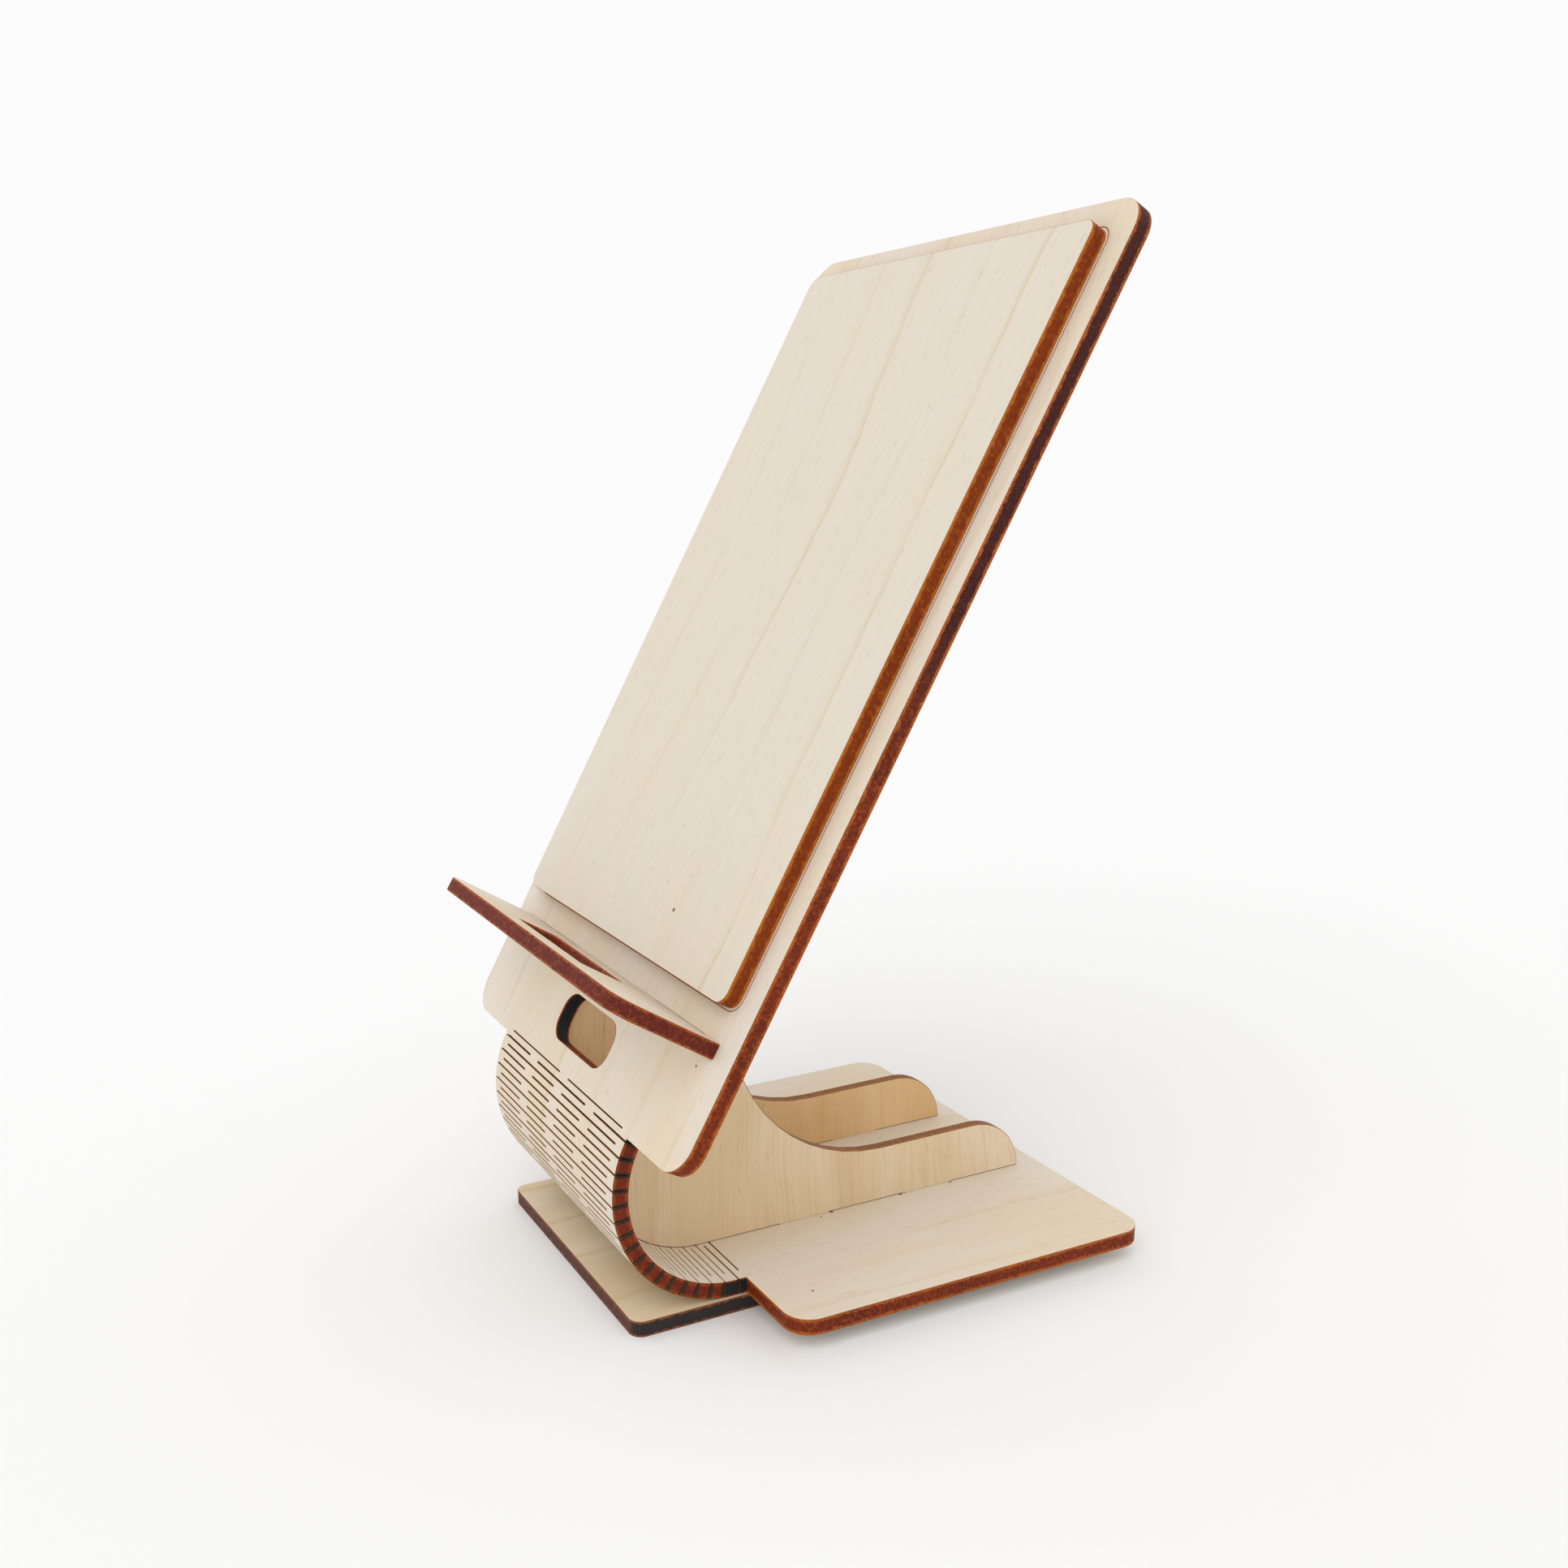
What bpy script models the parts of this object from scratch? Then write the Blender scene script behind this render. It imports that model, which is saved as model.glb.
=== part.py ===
"""Phone stand made of laser-cut plywood.

One long sheet is the back panel, the hinge and the base: rows of narrow cuts let its middle bend
round a cylinder, and two V-shaped ribs hold it at that angle. A pad on the front of the panel
carries the phone's back, a ledge below it carries the phone's edge, and a foot plate under the
bend keeps the stand from tipping forwards.

X is to the stand's right seen from the front, Y is backwards and Z is up. The stand rests on z = 0.
"""
import math

import bmesh
import bpy
from mathutils import Vector

MM = 0.001

# The sheet and its bend
PLY = 3.0 * MM                      # thickness of the long sheet
SMALL_PLY = 2.7 * MM                # pad and foot plate
GAP = 0.3 * MM                      # glue gap left between pieces that touch
LEAN = math.radians(30)             # the panel leans back this far from upright
BEND_ANGLE = math.radians(90) + LEAN
BEND_INNER = 20.0 * MM              # radius of the bend's inner face
BEND_Y = -24.33 * MM                # where the bend's axis lies, which centres the whole stand

# The back panel, measured up the slope from the end of the bend
PANEL_WIDTH = 94.5 * MM
PANEL_LENGTH = 166.6 * MM
PANEL_CORNER = 5.8 * MM
CABLE_HOLE = (22.6 * MM, 9.3 * MM)  # width, height
CABLE_HOLE_LOW = 5.4 * MM
CABLE_HOLE_CORNER = 3.7 * MM

# The base, measured backwards from the end of the bend
BASE_WIDTH = 92.7 * MM
BASE_START = 2.2 * MM
BASE_END = 76.3 * MM
BASE_CORNER = 4.8 * MM

# The hinge: rows of cuts, closed rows and open rows by turns
HINGE_WIDTH = 57.4 * MM
KERF = 0.45 * MM
ROW_PITCH = 1.412 * MM
ROW_COUNT = 35
FIRST_ROW = -2.1 * MM
BRIDGE = 3.8 * MM                   # uncut wood between two cuts of a row
EDGE_BRIDGE = 2.7 * MM              # uncut wood at the ends of a closed row

# The pad on the panel's front
PAD_WIDTH = 83.6 * MM
PAD_LOW = 27.8 * MM
PAD_LENGTH = 133.8 * MM
PAD_CORNER = 2.5 * MM

# The phone ledge
LEDGE_THICK = 2.8 * MM
LEDGE_WIDTH = 83.4 * MM
LEDGE_DEPTH = 20.5 * MM
LEDGE_CORNER = 4.5 * MM
LEDGE_TOP = 22.1 * MM               # height of its top face up the panel
LEDGE_TILT = math.radians(2.7)      # its front edge sits a little high
LEDGE_TAB = (17.8 * MM, 36.0 * MM)  # each tab reaches from one to the other side of the middle
LEDGE_SLOT_HALF = 15.3 * MM
LEDGE_SLOT = (5.7 * MM, 14.7 * MM)  # its back and front edge, out from the panel
LEDGE_SLOT_CORNER = 1.0 * MM

# The ribs
RIB_THICK = 2.1 * MM
RIB_OUTER = 14.5 * MM               # outer face of each rib from the middle
RIB_ARM = 10.9 * MM                 # width of both arms, and radius of their round ends
RIB_REACH = 71.7 * MM               # length of both arms from the bend
RIB_FILLET = 31.8 * MM              # radius between the two arms
BASE_TABS = ((17.0 * MM, 28.0 * MM), (45.0 * MM, 56.0 * MM))
PANEL_TABS = ((45.0 * MM, 56.0 * MM),)

# The foot plate
FOOT_WIDTH = 58.7 * MM
FOOT_FRONT = -20.1 * MM             # from the bend's axis
FOOT_BACK = 59.3 * MM
FOOT_CORNER = 2.3 * MM

BASE_TOP = SMALL_PLY + GAP + PLY
BEND_Z = BASE_TOP + BEND_INNER
BEND_MIDDLE = BEND_INNER + PLY / 2
BEND_LENGTH = BEND_MIDDLE * BEND_ANGLE
ARC_STEP = math.radians(15)


def arc(centre_x, centre_y, radius, start, end, step=ARC_STEP):
    """Points along an arc, with both ends; angles in radians."""
    count = max(1, round(abs(end - start) / step))
    angles = [start + (end - start) * i / count for i in range(count + 1)]
    return [(centre_x + radius * math.cos(a), centre_y + radius * math.sin(a)) for a in angles]


def rounded(corners):
    """A closed outline through (x, y, radius) corners, each one rounded by its own radius."""
    outline = []
    for i, (x, y, radius) in enumerate(corners):
        here = Vector((x, y))
        if radius == 0:
            outline.append((x, y))
            continue
        before = (Vector(corners[i - 1][:2]) - here).normalized()
        after = (Vector(corners[(i + 1) % len(corners)][:2]) - here).normalized()
        half = before.angle(after) / 2
        centre = here + (before + after).normalized() * radius / math.sin(half)
        start = here + before * radius / math.tan(half) - centre
        turn = (math.pi - 2 * half) * (1 if before.x * after.y - before.y * after.x < 0 else -1)
        angle = math.atan2(start.y, start.x)
        outline += arc(centre.x, centre.y, radius, angle, angle + turn)
    return outline


def rectangle(x0, y0, x1, y1, radius=0.0):
    return rounded([(x0, y0, radius), (x1, y0, radius), (x1, y1, radius), (x0, y1, radius)])


def add_plate(mesh, outline, low, high):
    """Add a plate to a bmesh: the outline in x and y, filled from z = low to z = high."""
    face = mesh.faces.new([mesh.verts.new((x, y, low)) for x, y in outline])
    raised = bmesh.ops.extrude_face_region(mesh, geom=[face])["geom"]
    moved = [part for part in raised if isinstance(part, bmesh.types.BMVert)]
    bmesh.ops.translate(mesh, verts=moved, vec=(0, 0, high - low))


def plates_object(name, plates):
    """An object whose mesh holds one plate for each (outline, low, high)."""
    mesh = bmesh.new()
    for outline, low, high in plates:
        add_plate(mesh, outline, low, high)
    bmesh.ops.recalc_face_normals(mesh, faces=mesh.faces)
    data = bpy.data.meshes.new(name)
    mesh.to_mesh(data)
    mesh.free()
    thing = bpy.data.objects.new(name, data)
    bpy.context.scene.collection.objects.link(thing)
    return thing


def cut(thing, plates):
    """Cut a set of plates out of an object, and keep the result as its mesh."""
    cutter = plates_object("cutter", plates)
    boolean = thing.modifiers.new("cuts", "BOOLEAN")
    boolean.operation = "DIFFERENCE"
    boolean.solver = "EXACT"
    boolean.object = cutter
    bpy.context.view_layer.update()
    evaluated = thing.evaluated_get(bpy.context.evaluated_depsgraph_get())
    result = bpy.data.meshes.new_from_object(evaluated)
    thing.modifiers.clear()
    thing.data = result
    bpy.data.objects.remove(cutter)


def paint(thing, name, colour, roughness):
    material = bpy.data.materials.new(name)
    material.use_nodes = True
    shader = material.node_tree.nodes["Principled BSDF"]
    shader.inputs["Base Color"].default_value = (*colour, 1)
    shader.inputs["Roughness"].default_value = roughness
    shader.inputs["Metallic"].default_value = 0.0
    thing.data.materials.clear()
    thing.data.materials.append(material)


def bent(x, along, depth):
    """Where a point of the flat sheet ends up once the sheet is bent.

    along runs from the base's end of the bend, up the panel; it is negative on the base.
    depth runs from the sheet's inner face (top of the base, back of the panel) to its outer face.
    """
    angle = min(max(along / BEND_MIDDLE, 0), BEND_ANGLE)
    radius = BEND_INNER + depth
    straight = along - angle * BEND_MIDDLE
    y = BEND_Y - radius * math.sin(angle) - straight * math.cos(angle)
    z = BEND_Z - radius * math.cos(angle) + straight * math.sin(angle)
    return Vector((x, y, z))


def sheet_outline():
    """The flat sheet: base, hinge and panel in one closed outline."""
    base, hinge, panel = BASE_WIDTH / 2, HINGE_WIDTH / 2, PANEL_WIDTH / 2
    top = BEND_LENGTH + PANEL_LENGTH
    right = [
        (base, -BASE_END, BASE_CORNER),
        (base, -BASE_START, BASE_CORNER),
        (hinge, -BASE_START, 0),
        (hinge, BEND_LENGTH, 0),
        (panel, BEND_LENGTH, PANEL_CORNER),
        (panel, top, PANEL_CORNER),
    ]
    left = [(-x, y, radius) for x, y, radius in reversed(right)]
    return rounded(right + left)


def kerf_rows():
    """For each row of cuts: its place along the sheet, and where its cuts start and end in x."""
    edge = HINGE_WIDTH / 2
    quarter = edge / 2
    closed = [(BRIDGE / 2, edge - EDGE_BRIDGE)]
    opened = [(quarter + BRIDGE / 4, edge + PLY)]
    for row in range(ROW_COUNT):
        cuts = list(opened if row % 2 else closed)
        cuts += [(-b, -a) for a, b in cuts]
        if row % 2:
            inner = quarter - BRIDGE * 3 / 4
            cuts.append((-inner, inner))
        yield FIRST_ROW + row * ROW_PITCH, cuts


def sheet_cuts():
    """Everything the laser cuts inside the sheet's outline, as outlines in x and along."""
    cuts = []
    for middle, spans in kerf_rows():
        for start, end in spans:
            cuts.append(rectangle(start, middle - KERF / 2, end, middle + KERF / 2))
    half_hole = CABLE_HOLE[0] / 2
    low = BEND_LENGTH + CABLE_HOLE_LOW
    cuts.append(rectangle(-half_hole, low, half_hole, low + CABLE_HOLE[1], CABLE_HOLE_CORNER))
    for side in (-1, 1):
        near, far = sorted((side * (LEDGE_TAB[0] - GAP), side * (LEDGE_TAB[1] + GAP)))
        top = BEND_LENGTH + LEDGE_TOP + GAP
        cuts.append(rectangle(near, top - LEDGE_THICK - 2 * GAP, far, top))
        near, far = sorted((side * (RIB_OUTER - RIB_THICK - GAP), side * (RIB_OUTER + GAP)))
        for start, end in BASE_TABS:
            cuts.append(rectangle(near, -end - GAP, far, -start + GAP))
        for start, end in PANEL_TABS:
            cuts.append(rectangle(near, BEND_LENGTH + start - GAP, far, BEND_LENGTH + end + GAP))
    return cuts


def make_main_sheet():
    """The base, the hinge and the back panel: cut flat, then bent."""
    sheet = plates_object("main_sheet", [(sheet_outline(), 0, PLY)])
    cut(sheet, [(outline, -PLY, 2 * PLY) for outline in sheet_cuts()])
    mesh = bmesh.new()
    mesh.from_mesh(sheet.data)
    folds = [middle + side * KERF / 2 for middle, _ in kerf_rows() for side in (-1, 1)]
    for fold in folds + [0, BEND_LENGTH]:
        geometry = mesh.verts[:] + mesh.edges[:] + mesh.faces[:]
        bmesh.ops.bisect_plane(mesh, geom=geometry, dist=1e-7, plane_co=(0, fold, 0), plane_no=(0, 1, 0))
    for vert in mesh.verts:
        vert.co = bent(*vert.co)
    bmesh.ops.remove_doubles(mesh, verts=mesh.verts, dist=1e-7)
    bmesh.ops.recalc_face_normals(mesh, faces=mesh.faces)
    mesh.to_mesh(sheet.data)
    mesh.free()
    paint(sheet, "birch_sheet", (0.78, 0.69, 0.55), 0.6)
    return sheet


def make_panel_frame():
    """An empty on the panel's front face, at its lower edge: its Z runs up the slope."""
    frame = bpy.data.objects.new("panel_frame", None)
    bpy.context.scene.collection.objects.link(frame)
    frame.location = bent(0, BEND_LENGTH, PLY)
    frame.rotation_euler = (-LEAN, 0, 0)
    return frame


def make_pad(frame):
    """The pad stands off the panel by the glue gap, and its face looks out along -Y of the frame."""
    half = PAD_WIDTH / 2
    outline = rectangle(-half, PAD_LOW, half, PAD_LOW + PAD_LENGTH, PAD_CORNER)
    pad = plates_object("back_pad", [(outline, GAP, GAP + SMALL_PLY)])
    pad.parent = frame
    pad.rotation_euler = (math.radians(90), 0, 0)
    paint(pad, "birch_pad", (0.80, 0.71, 0.57), 0.6)


def make_ledge(frame):
    """The ledge's outline lies in x and outwards; its thickness runs down from its top face."""
    half = LEDGE_WIDTH / 2
    near, far = LEDGE_TAB
    corners = [(-half, LEDGE_DEPTH, LEDGE_CORNER), (-half, GAP, 0)]
    corners += [(-far, GAP, 0), (-far, -PLY, 0), (-near, -PLY, 0), (-near, GAP, 0)]
    corners += [(near, GAP, 0), (near, -PLY, 0), (far, -PLY, 0), (far, GAP, 0)]
    corners += [(half, GAP, 0), (half, LEDGE_DEPTH, LEDGE_CORNER)]
    ledge = plates_object("phone_ledge", [(rounded(corners), 0, LEDGE_THICK)])
    back, front = LEDGE_SLOT
    slot = rectangle(-LEDGE_SLOT_HALF, back, LEDGE_SLOT_HALF, front, LEDGE_SLOT_CORNER)
    cut(ledge, [(slot, -LEDGE_THICK, 2 * LEDGE_THICK)])
    ledge.parent = frame
    ledge.location = (0, 0, LEDGE_TOP)
    ledge.rotation_euler = (math.radians(180) - LEDGE_TILT, 0, 0)
    paint(ledge, "birch_ledge", (0.76, 0.66, 0.52), 0.6)


def half_rib(tabs):
    """The base's half of a rib in y and z from the bend's axis: from the middle of the bend's
    inner face, along the base with its tabs, round the arm's end to the middle of the fillet."""
    reach = BEND_INNER - GAP
    half_angle = BEND_ANGLE / 2
    points = arc(0, 0, reach, math.radians(-90) - half_angle, math.radians(-90), math.radians(7.5))
    for start, end in tabs:
        points += [(start, -reach), (start, -BEND_INNER - PLY), (end, -BEND_INNER - PLY), (end, -reach)]
    first = math.asin(GAP / RIB_ARM)
    points += arc(RIB_REACH - RIB_ARM, -BEND_INNER, RIB_ARM, first, math.radians(90))
    fillet_z = RIB_ARM + RIB_FILLET - BEND_INNER
    fillet_y = fillet_z * math.tan(half_angle)
    points += arc(fillet_y, fillet_z, RIB_FILLET, math.radians(-90), math.radians(-90) - half_angle)
    return points


def mirrored(points):
    """Reflect y and z in the line that halves the angle between the base and the panel."""
    turn = math.pi - BEND_ANGLE
    cos, sin = math.cos(turn), math.sin(turn)
    return [(y * cos + z * sin, y * sin - z * cos) for y, z in points]


def make_rib(name, inner_x):
    """A rib's outline lies in y and z, and its thickness runs along +X from inner_x."""
    panel_half = mirrored(half_rib(PANEL_TABS))
    outline = half_rib(BASE_TABS) + panel_half[-2:0:-1]
    rib = plates_object(name, [(outline, 0, RIB_THICK)])
    rib.location = (inner_x, BEND_Y, BEND_Z)
    rib.rotation_euler = (math.radians(90), 0, math.radians(90))
    paint(rib, "birch_" + name, (0.62, 0.48, 0.33), 0.65)


def make_foot():
    half = FOOT_WIDTH / 2
    outline = rectangle(-half, FOOT_FRONT, half, FOOT_BACK, FOOT_CORNER)
    foot = plates_object("foot_plate", [(outline, 0, SMALL_PLY)])
    foot.location = (0, BEND_Y, 0)
    paint(foot, "birch_foot", (0.66, 0.54, 0.40), 0.6)


def main():
    for thing in list(bpy.data.objects):
        bpy.data.objects.remove(thing)
    make_main_sheet()
    frame = make_panel_frame()
    make_pad(frame)
    make_ledge(frame)
    make_rib("left_rib", -RIB_OUTER)
    make_rib("right_rib", RIB_OUTER - RIB_THICK)
    make_foot()


main()
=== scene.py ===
# %% [markdown]
# # A phone stand of laser-cut plywood
#
# Such a stand starts out flat, as six pieces cut by a laser from thin birch plywood. One long
# sheet is the base, the hinge and the back panel. Its middle is cut with rows of short slots, so
# that the stiff wood bends like a curtain. Two ribs lock the bend, a pad backs the phone, a ledge
# carries it, and a foot plate under the bend keeps it from tipping.
#
# This lesson makes those six pieces again, with every cut in them, and gives them bare wood faces
# and burnt edges. The first step loads the measured model, which says where each piece goes.

# %% Load the measured model
import math

import bmesh
import bpy
from mathutils import Matrix, Vector


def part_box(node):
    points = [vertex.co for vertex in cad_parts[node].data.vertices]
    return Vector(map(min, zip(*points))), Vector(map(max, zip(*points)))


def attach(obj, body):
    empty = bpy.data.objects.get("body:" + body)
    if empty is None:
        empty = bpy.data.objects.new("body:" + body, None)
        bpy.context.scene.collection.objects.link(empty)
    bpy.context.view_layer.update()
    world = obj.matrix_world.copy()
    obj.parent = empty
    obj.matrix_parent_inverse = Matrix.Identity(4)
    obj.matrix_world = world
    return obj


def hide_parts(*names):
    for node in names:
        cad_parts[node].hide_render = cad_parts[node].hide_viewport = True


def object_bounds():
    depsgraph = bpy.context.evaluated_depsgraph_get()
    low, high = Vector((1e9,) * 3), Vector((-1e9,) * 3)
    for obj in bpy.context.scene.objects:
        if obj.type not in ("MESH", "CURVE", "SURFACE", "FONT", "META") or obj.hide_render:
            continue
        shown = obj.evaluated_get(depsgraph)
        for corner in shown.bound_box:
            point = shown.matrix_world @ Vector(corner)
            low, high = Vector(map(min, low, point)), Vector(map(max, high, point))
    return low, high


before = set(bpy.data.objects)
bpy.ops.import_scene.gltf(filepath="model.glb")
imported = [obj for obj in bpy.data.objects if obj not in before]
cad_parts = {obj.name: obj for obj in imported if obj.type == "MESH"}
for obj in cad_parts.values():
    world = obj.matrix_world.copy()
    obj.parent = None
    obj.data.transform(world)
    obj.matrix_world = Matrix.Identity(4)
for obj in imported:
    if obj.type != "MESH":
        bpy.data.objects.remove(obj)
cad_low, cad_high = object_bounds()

MM = 0.001
print("nodes:", ", ".join(sorted(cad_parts)))
print("size in mm:", [round(side / MM, 2) for side in cad_high - cad_low])

# %% [markdown]
# ## Driving sizes
#
# A maker would measure the real stand with a caliper. Here the measured model has the sizes, so
# the outer ones are read from the boxes of its nodes. What a box can't say is written down: here
# the thickness of the plywood, the radius of the bend and the angle at which the panel leans, and
# in each later cell the sizes of the piece it cuts.
#
# In the measured model, glued pieces stay 0.3 mm apart. On the real stand they touch, so the new
# pieces close that gap to a hair, which also keeps their surfaces from flickering into each other.

# %% Read the sizes of the sheet, the bend and the pieces
PLY = 3.0 * MM
GAP = 0.3 * MM
HAIR = 0.02 * MM
LEAN = math.radians(30)
BEND_ANGLE = math.radians(90) + LEAN
BEND_INNER = 20.0 * MM

sheet_low, sheet_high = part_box("main_sheet")
rib_low, rib_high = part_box("right_rib")
pad_low, pad_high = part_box("back_pad")
foot_low, foot_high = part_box("foot_plate")

BEND_Y = rib_low.y + BEND_INNER - GAP
BEND_Z = sheet_low.z + PLY + BEND_INNER
BEND_MIDDLE = BEND_INNER + PLY / 2
BEND_LENGTH = BEND_MIDDLE * BEND_ANGLE
PANEL_WIDTH = sheet_high.x - sheet_low.x
PANEL_FOOT_Z = BEND_Z + (BEND_INNER + PLY) * math.sin(LEAN)
PANEL_LENGTH = (sheet_high.z - PANEL_FOOT_Z) / math.cos(LEAN)
SMALL_PLY = foot_high.z - foot_low.z
RIB_THICK = rib_high.x - rib_low.x
RIB_OUTER = rib_high.x
print("panel:", round(PANEL_WIDTH / MM, 2), "x", round(PANEL_LENGTH / MM, 2), "mm")
print("bend axis: y", round(BEND_Y / MM, 2), "z", round(BEND_Z / MM, 2), "mm")

# %% [markdown]
# ## The laser's path
#
# A laser cutter follows a flat drawing: one outline with holes in it. Nearly every corner of this
# stand is a small arc, so the drawing is a list of corners, each with its own radius, and a helper
# turns that list into points. Arcs get a point every few degrees, which is smooth enough up close.

# %% Corners to an outline
ARC_STEP = math.radians(7.5)


def arc(centre_x, centre_y, radius, start, end):
    """Points along an arc, with both ends. Angles are in radians."""
    count = max(2, round(abs(end - start) / ARC_STEP))
    angles = [start + (end - start) * i / count for i in range(count + 1)]
    return [(centre_x + radius * math.cos(a), centre_y + radius * math.sin(a)) for a in angles]


def rounded(corners):
    """A closed outline through (x, y, radius) corners, each one rounded by its own radius."""
    outline = []
    for i, (x, y, radius) in enumerate(corners):
        here = Vector((x, y))
        if radius == 0:
            outline.append((x, y))
            continue
        before = (Vector(corners[i - 1][:2]) - here).normalized()
        after = (Vector(corners[(i + 1) % len(corners)][:2]) - here).normalized()
        half = before.angle(after) / 2
        centre = here + (before + after).normalized() * radius / math.sin(half)
        start = here + before * radius / math.tan(half) - centre
        turn = (math.pi - 2 * half) * (1 if before.x * after.y - before.y * after.x < 0 else -1)
        angle = math.atan2(start.y, start.x)
        outline += arc(centre.x, centre.y, radius, angle, angle + turn)
    return outline


def rectangle(x0, y0, x1, y1, radius=0.0):
    return rounded([(x0, y0, radius), (x1, y0, radius), (x1, y1, radius), (x0, y1, radius)])


print("a test corner has", len(rectangle(0, 0, 1, 1, 0.2)) // 4, "points")

# %% [markdown]
# ## From path to plate
#
# Blender's 2D curves do what the laser does. A closed spline is filled, a spline inside it becomes
# a hole, Extrude gives the thickness, and a tiny Bevel takes the razor edge off, as light sanding
# does. Cutting the holes with Booleans would work too, but sixty holes in one plate are a lot of
# Booleans, and the curve makes them all at once, with clean walls.
#
# The bevel grows the outline outwards, so Offset pulls it back in by the same amount.

# %% Cut a plate
SOFT_EDGE = 0.1 * MM
KERF_SOFT_EDGE = 0.04 * MM
JOINT_SOFT_EDGE = 0.15 * MM
WELD = 0.0001 * MM


def turns_left(outline):
    pairs = zip(outline, outline[1:] + outline[:1])
    return sum(a[0] * b[1] - b[0] * a[1] for a, b in pairs) > 0


def evaluated_mesh(made):
    """A new mesh of the object as it looks with its fill, its extrusion and its modifiers."""
    bpy.context.view_layer.update()
    depsgraph = bpy.context.evaluated_depsgraph_get()
    return bpy.data.meshes.new_from_object(made.evaluated_get(depsgraph))


def laser_cut(outline, holes, thickness, soft=SOFT_EDGE):
    """A closed bmesh plate from z = 0 to z = thickness."""
    path = bpy.data.curves.new("laser_path", "CURVE")
    path.dimensions = "2D"
    path.fill_mode = "BOTH"
    path.extrude = thickness / 2 - soft
    path.bevel_depth = soft
    path.bevel_resolution = 1
    path.offset = -soft
    for number, loop in enumerate([outline] + holes):
        is_hole = number > 0
        if turns_left(loop) == is_hole:
            loop = loop[::-1]
        spline = path.splines.new("POLY")
        spline.points.add(len(loop) - 1)
        spline.use_cyclic_u = True
        for point, (x, y) in zip(spline.points, loop):
            point.co = (x, y, 0, 1)
    drawing = bpy.data.objects.new("laser_path", path)
    bpy.context.scene.collection.objects.link(drawing)
    cut = evaluated_mesh(drawing)
    bpy.data.objects.remove(drawing)
    bpy.data.curves.remove(path)
    plate = bmesh.new()
    plate.from_mesh(cut)
    bpy.data.meshes.remove(cut)
    bmesh.ops.remove_doubles(plate, verts=plate.verts, dist=WELD)
    bmesh.ops.translate(plate, verts=plate.verts, vec=(0, 0, thickness / 2))
    return plate


# %% [markdown]
# ## From plate to piece
#
# Wood grain belongs to the flat sheet: it must follow the sheet round the bend, and run on each
# piece the way it ran on the board. So before a piece is bent or stood up, each vertex notes where
# it lay on the board, in millimetres. The materials read that note, and not the place in the room.
#
# The two broad faces get the wood material, and what the laser cut gets a burnt one. The narrow
# cuts of the hinge have their own, painted paler to stand in for the light that hardly reaches
# into them. The normals are smooth round arcs and sharp at every real edge. Blender's own
# recalculation makes them agree with each other, but it can turn a whole piece inside out, and
# the sign of the volume shows when it has.
#
# Where several corners lie on one line, the fill leaves triangles that have no area. Such a sliver
# shares its longest edge with a good triangle. Turning that edge to join the two opposite corners
# gives two good triangles. The longest goes first, because a smaller sliver may lie behind it.

# %% Finish a piece
BOARD_NOTE = "board_mm"
FACE, EDGE, KERF_WALL = 0, 1, 2
FLAT_ENOUGH = 0.999
SHARP_ANGLE = math.radians(20)
TURNS_PER_SLIVER = 4
made_pieces = {}


def longest(edges):
    return max(edges, key=lambda edge: edge.calc_length())


def is_sliver(face):
    """A triangle whose height is below WELD. Its area says little: its base can be long."""
    return face.calc_area() < WELD * longest(face.edges).calc_length() / 2


def turn_slivers(plate):
    """Turn long edges until no sliver is left, with a limit on the number of turns."""
    bmesh.ops.triangulate(plate, faces=plate.faces)
    slivers = [face for face in plate.faces if is_sliver(face)]
    turns = TURNS_PER_SLIVER * len(slivers)
    while slivers and turns:
        bmesh.utils.edge_rotate(longest(longest(face.edges) for face in slivers))
        slivers = [face for face in plate.faces if is_sliver(face)]
        turns -= 1


def finish_piece(name, plate, thickness, place, node, is_kerf=lambda spot: False):
    """Note the board, split faces from edges, move each vertex by place(), keep the piece."""
    turn_slivers(plate)
    note = plate.verts.layers.float_vector.new(BOARD_NOTE)
    for vert in plate.verts:
        vert[note] = vert.co / MM
    plate.normal_update()
    for face in plate.faces:
        spot = face.calc_center_median()
        is_flat = abs(face.normal.z) > FLAT_ENOUGH
        on_surface = min(spot.z, thickness - spot.z) < HAIR and is_flat
        face.material_index = FACE if on_surface else KERF_WALL if is_kerf(spot) else EDGE
        face.smooth = True
    for vert in plate.verts:
        vert.co = place(*vert.co)
    bmesh.ops.recalc_face_normals(plate, faces=plate.faces)
    if plate.calc_volume(signed=True) < 0:
        bmesh.ops.reverse_faces(plate, faces=plate.faces)
    open_edges = sum(not edge.is_manifold for edge in plate.edges)
    if open_edges:
        raise ValueError(f"{name} has {open_edges} open edges")
    mesh = bpy.data.meshes.new(name)
    plate.to_mesh(mesh)
    plate.free()
    mesh.set_sharp_from_angle(angle=SHARP_ANGLE)
    piece = bpy.data.objects.new(name, mesh)
    bpy.context.scene.collection.objects.link(piece)
    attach(piece, "root")
    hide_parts(node)
    made_pieces[name] = piece
    print(name, len(mesh.polygons), "faces, closed")
    return piece


# %% [markdown]
# ## The hinge pattern
#
# Plywood 3 mm thick snaps if it is bent to a radius of 20 mm. The trick is called a living hinge:
# rows of short cuts, each row shifted against the next, leave only narrow strips of wood between
# them. Each strip twists a little, and thirty-five rows of a little add up to 120 degrees.
#
# Every second row is closed: it has two long cuts and keeps its wood at both ends. The rows
# between are open: their outer cuts run out through the edge, so they are notches in the outline.

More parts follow.
